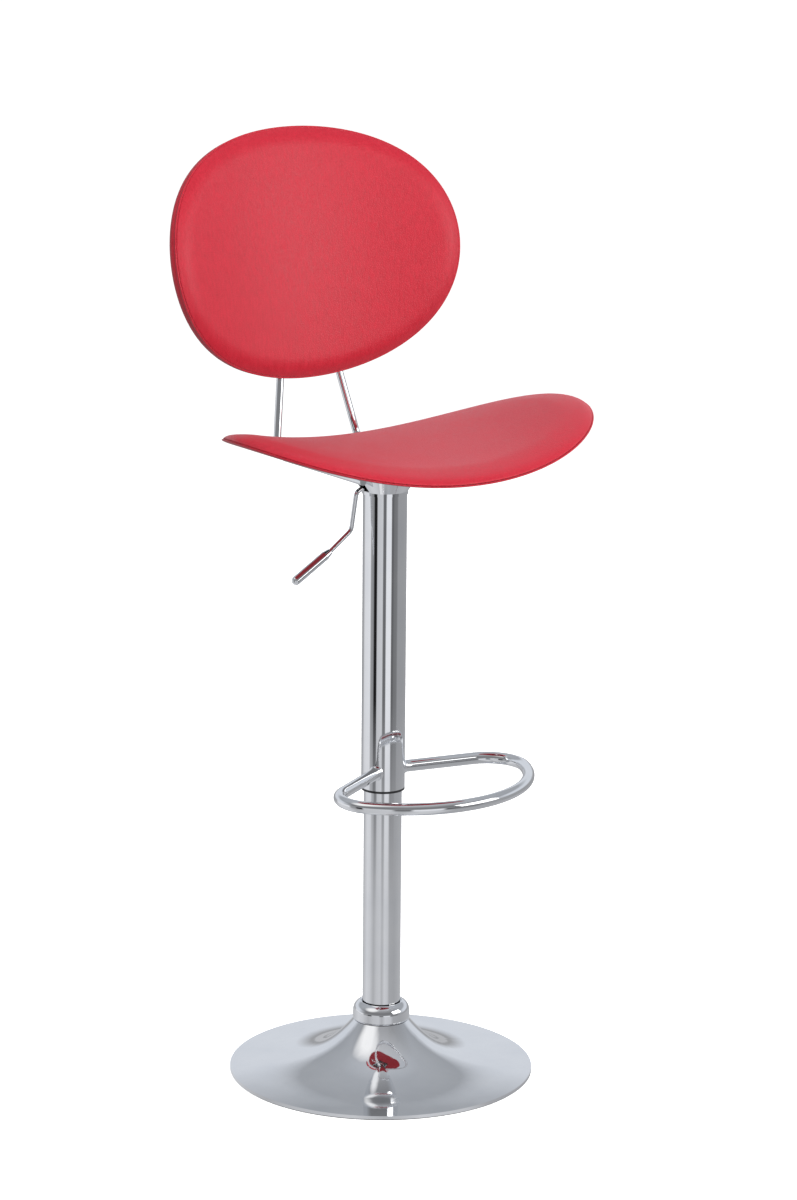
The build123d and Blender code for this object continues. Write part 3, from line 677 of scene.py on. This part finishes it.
def make_foot_loop(materials):
    turn = math.radians(LOOP_CORNER_ANGLE)
    sweep = math.radians(LOOP_ARM_SWEEP)
    corner_start = 90 - LOOP_ARM_SWEEP
    corner_end = LOOP_CORNER_ANGLE - 90
    middle = Vector((0, LOOP_FRONT_RADIUS - LOOP_REACH, 0))
    to_hub = Vector((math.sin(turn), -math.cos(turn), 0))
    hub = middle + (LOOP_FRONT_RADIUS - LOOP_CORNER_RADIUS) * to_hub
    arm = Vector((math.cos(sweep), -math.sin(sweep), 0))
    arm_end = hub + LOOP_CORNER_RADIUS * Vector((math.sin(sweep), math.cos(sweep), 0))
    rings = [welded(loop_ring(arm_end, arm, radius), arm, gap) for gap, radius in LOOP_WELD]
    rings.append(loop_ring(arm_end, arm, LOOP_TUBE_RADIUS))
    rings += loop_arc(hub, LOOP_CORNER_RADIUS, corner_start, corner_end, LOOP_CORNER_RINGS)
    rings += loop_arc(middle, LOOP_FRONT_RADIUS, corner_end, -90, LOOP_FRONT_RINGS)
    rings += [[Vector((-p.x, p.y, p.z)) for p in ring] for ring in rings[-2::-1]]
    faces = []
    for row in range(len(rings) - 1):
        start = row * LOOP_SIDES
        for k in range(LOOP_SIDES):
            n = (k + 1) % LOOP_SIDES
            faces.append((start + k, start + n, start + LOOP_SIDES + n, start + LOOP_SIDES + k))
    count = len(rings) * LOOP_SIDES
    faces.append(tuple(range(LOOP_SIDES))[::-1])
    faces.append(tuple(range(count - LOOP_SIDES, count)))
    turned = Matrix.Rotation(math.radians(LOOP_TURN), 4, "Z")
    place = Matrix.Translation((0, 0, LOOP_HEIGHT)) @ turned
    piece = new_piece("foot_ring", [place @ point for ring in rings for point in ring], faces)
    for polygon in piece.data.polygons:
        polygon.use_smooth = len(polygon.vertices) == 4
    piece.data.materials.append(materials["chrome"])
    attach(piece, "seat")
    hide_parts("foot_loop")


# Rigid pieces keep their solids and take a finish

def dress_frame(materials):
    slots = {row["node"]: row["material_slot"] for row in frame["record"]["subparts"]}
    for name, piece in frame["nodes"].items():
        piece.data.materials.clear()
        piece.data.materials.append(materials[slots[name]])


# Studio

def studio_direction(azimuth):
    """Level direction at a studio azimuth, as x and y."""
    turn = math.radians(CAMERA_AZIMUTH - azimuth)
    return -math.sin(turn), -math.cos(turn)


def along(tree, coords, direction):
    node = add_node(tree, "ShaderNodeVectorMath", coords, direction, operation="DOT_PRODUCT")
    return node.outputs["Value"]


def studio_azimuth(tree, coords):
    """Studio azimuth of a point or direction, as a share of the full turn."""
    across = along(tree, coords, (*studio_direction(90), 0))
    ahead = along(tree, coords, (*studio_direction(0), 0))
    angle = add_node(tree, "ShaderNodeMath", across, ahead, operation="ARCTAN2")
    return map_range(tree, angle.outputs["Value"], -math.pi, math.pi)


def background(tree, colour):
    return add_node(tree, "ShaderNodeBackground", colour, 1.0).outputs["Background"]


def make_floor():
    """Pale floor for the camera; a streaked card round the stool stands in for it in the chrome."""
    corner = FLOOR_SIZE / 2
    square = [(-corner, -corner, 0), (corner, -corner, 0), (corner, corner, 0), (-corner, corner, 0)]
    floor = new_piece("floor", square, [(0, 1, 2, 3)])
    material, tree, bsdf = new_material("floor")
    set_inputs(tree, bsdf, {
        "Base Color": (0.9, 0.9, 0.9, 1),
        "Roughness": 0.8,
        "Specular IOR Level": 0.2,
        "Emission Color": WHITE,
        "Emission Strength": FLOOR_GLOW,
    })
    floor.data.materials.append(material)
    floor.visible_glossy = False
    floor.visible_diffuse = False
    floor.visible_shadow = False
    angles = [math.radians(360 / FLOOR_CARD_SIDES * i) for i in range(FLOOR_CARD_SIDES)]
    ring = [(FLOOR_FAR * math.cos(a), FLOOR_FAR * math.sin(a), 0) for a in angles]
    card = new_piece("floor_card", ring, [tuple(range(len(ring)))])
    material, tree, bsdf = new_material("floor_card")
    coords = object_coords(tree)
    azimuth = studio_azimuth(tree, coords)
    away = add_node(tree, "ShaderNodeVectorMath", coords, operation="LENGTH").outputs["Value"]
    set_inputs(tree, bsdf, {
        "Base Color": grey(0.0),
        "Specular IOR Level": 0.0,
        "Emission Color": brightness_ramp(tree, azimuth, FLOOR_STREAKS, -180, 180, COOL),
        "Emission Strength": 1.0,
        "Alpha": map_range(tree, away, FLOOR_NEAR, FLOOR_FAR, to_low=1.0, to_high=0.0),
    })
    card.data.materials.append(material)
    card.visible_camera = False
    card.visible_diffuse = False
    card.visible_shadow = False


def make_world():
    """White for the camera, strips and sky for what is mirrored, and a plain fill for the rest."""
    world = bpy.data.worlds.new("studio")
    bpy.context.scene.world = world
    world.use_nodes = True
    tree = world.node_tree
    tree.nodes.clear()
    coords = tree.nodes.new("ShaderNodeTexCoord").outputs["Generated"]
    rise = along(tree, coords, (0, 0, 1))
    bands = brightness_ramp(tree, studio_azimuth(tree, coords), STUDIO_BANDS, -180, 180, COOL)
    behind = brightness_ramp(tree, rise, SKY_BEHIND, 0, 1, COLD)
    front = brightness_ramp(tree, rise, SKY_FRONT, 0, 1, COOL)
    ahead = along(tree, coords, (*studio_direction(0), 0))
    plain_sky = mix(tree, "RGBA", map_range(tree, ahead, *SKY_TURN), behind, front)
    x, y = studio_direction(PATCH_AZIMUTH)
    high = math.radians(PATCH_HEIGHT)
    to_patch = along(tree, coords, (x * math.cos(high), y * math.cos(high), math.sin(high)))
    sky = mix(tree, "RGBA", map_range(tree, to_patch, *PATCH_EDGE), plain_sky, WHITE)
    mirrored = mix(tree, "RGBA", map_range(tree, rise, *BANDS_END), bands, sky)
    fill = brightness_ramp(tree, map_range(tree, rise, -1, 1), STUDIO_FILL, -1, 1, NEUTRAL)
    path = tree.nodes.new("ShaderNodeLightPath").outputs
    unseen = add_node(
        tree, "ShaderNodeMixShader",
        path["Is Glossy Ray"], background(tree, fill), background(tree, mirrored),
    )
    studio = add_node(
        tree, "ShaderNodeMixShader",
        path["Is Camera Ray"], unseen.outputs["Shader"], background(tree, WHITE),
    )
    add_node(tree, "ShaderNodeOutputWorld", studio.outputs["Shader"])


def add_softbox(name, azimuth, distance, height, width, tall, power, mirrored):
    x, y = studio_direction(azimuth)
    place = Vector((distance * x, distance * y, height))
    light = bpy.data.lights.new(name, "AREA")
    light.shape = "RECTANGLE"
    light.size = width
    light.size_y = tall
    light.energy = power
    lamp = bpy.data.objects.new(name, light)
    bpy.context.collection.objects.link(lamp)
    aimed = (LIGHT_AIM - place).to_track_quat("-Z", "Y").to_matrix().to_4x4()
    lamp.matrix_world = Matrix.Translation(place) @ aimed
    lamp.visible_glossy = mirrored


def make_lights():
    for name, values in SOFTBOXES.items():
        add_softbox(name, **values)


def make_camera():
    x, y = studio_direction(0)
    place = Vector((CAMERA_DISTANCE * x, CAMERA_DISTANCE * y, CAMERA_HEIGHT))
    data = bpy.data.cameras.new("camera")
    data.sensor_fit = "AUTO"
    data.sensor_width = SENSOR_MM
    data.lens = FOCAL_PX / IMAGE_HEIGHT_PX * SENSOR_MM
    camera = bpy.data.objects.new("camera", data)
    bpy.context.collection.objects.link(camera)
    heading = Matrix.Rotation(-math.radians(CAMERA_AZIMUTH) - math.radians(CAMERA_YAW), 4, "Z")
    tilt = Matrix.Rotation(math.radians(90 - CAMERA_PITCH), 4, "X")
    roll = Matrix.Rotation(math.radians(CAMERA_ROLL), 4, "Z")
    camera.matrix_world = Matrix.Translation(place) @ heading @ tilt @ roll
    bpy.context.scene.camera = camera


materials = make_materials()
dress_frame(materials)
make_seat(materials)
make_back(materials)
make_foot_loop(materials)
make_floor()
make_world()
make_lights()
make_camera()
bpy.context.scene.view_settings.view_transform = "Standard"
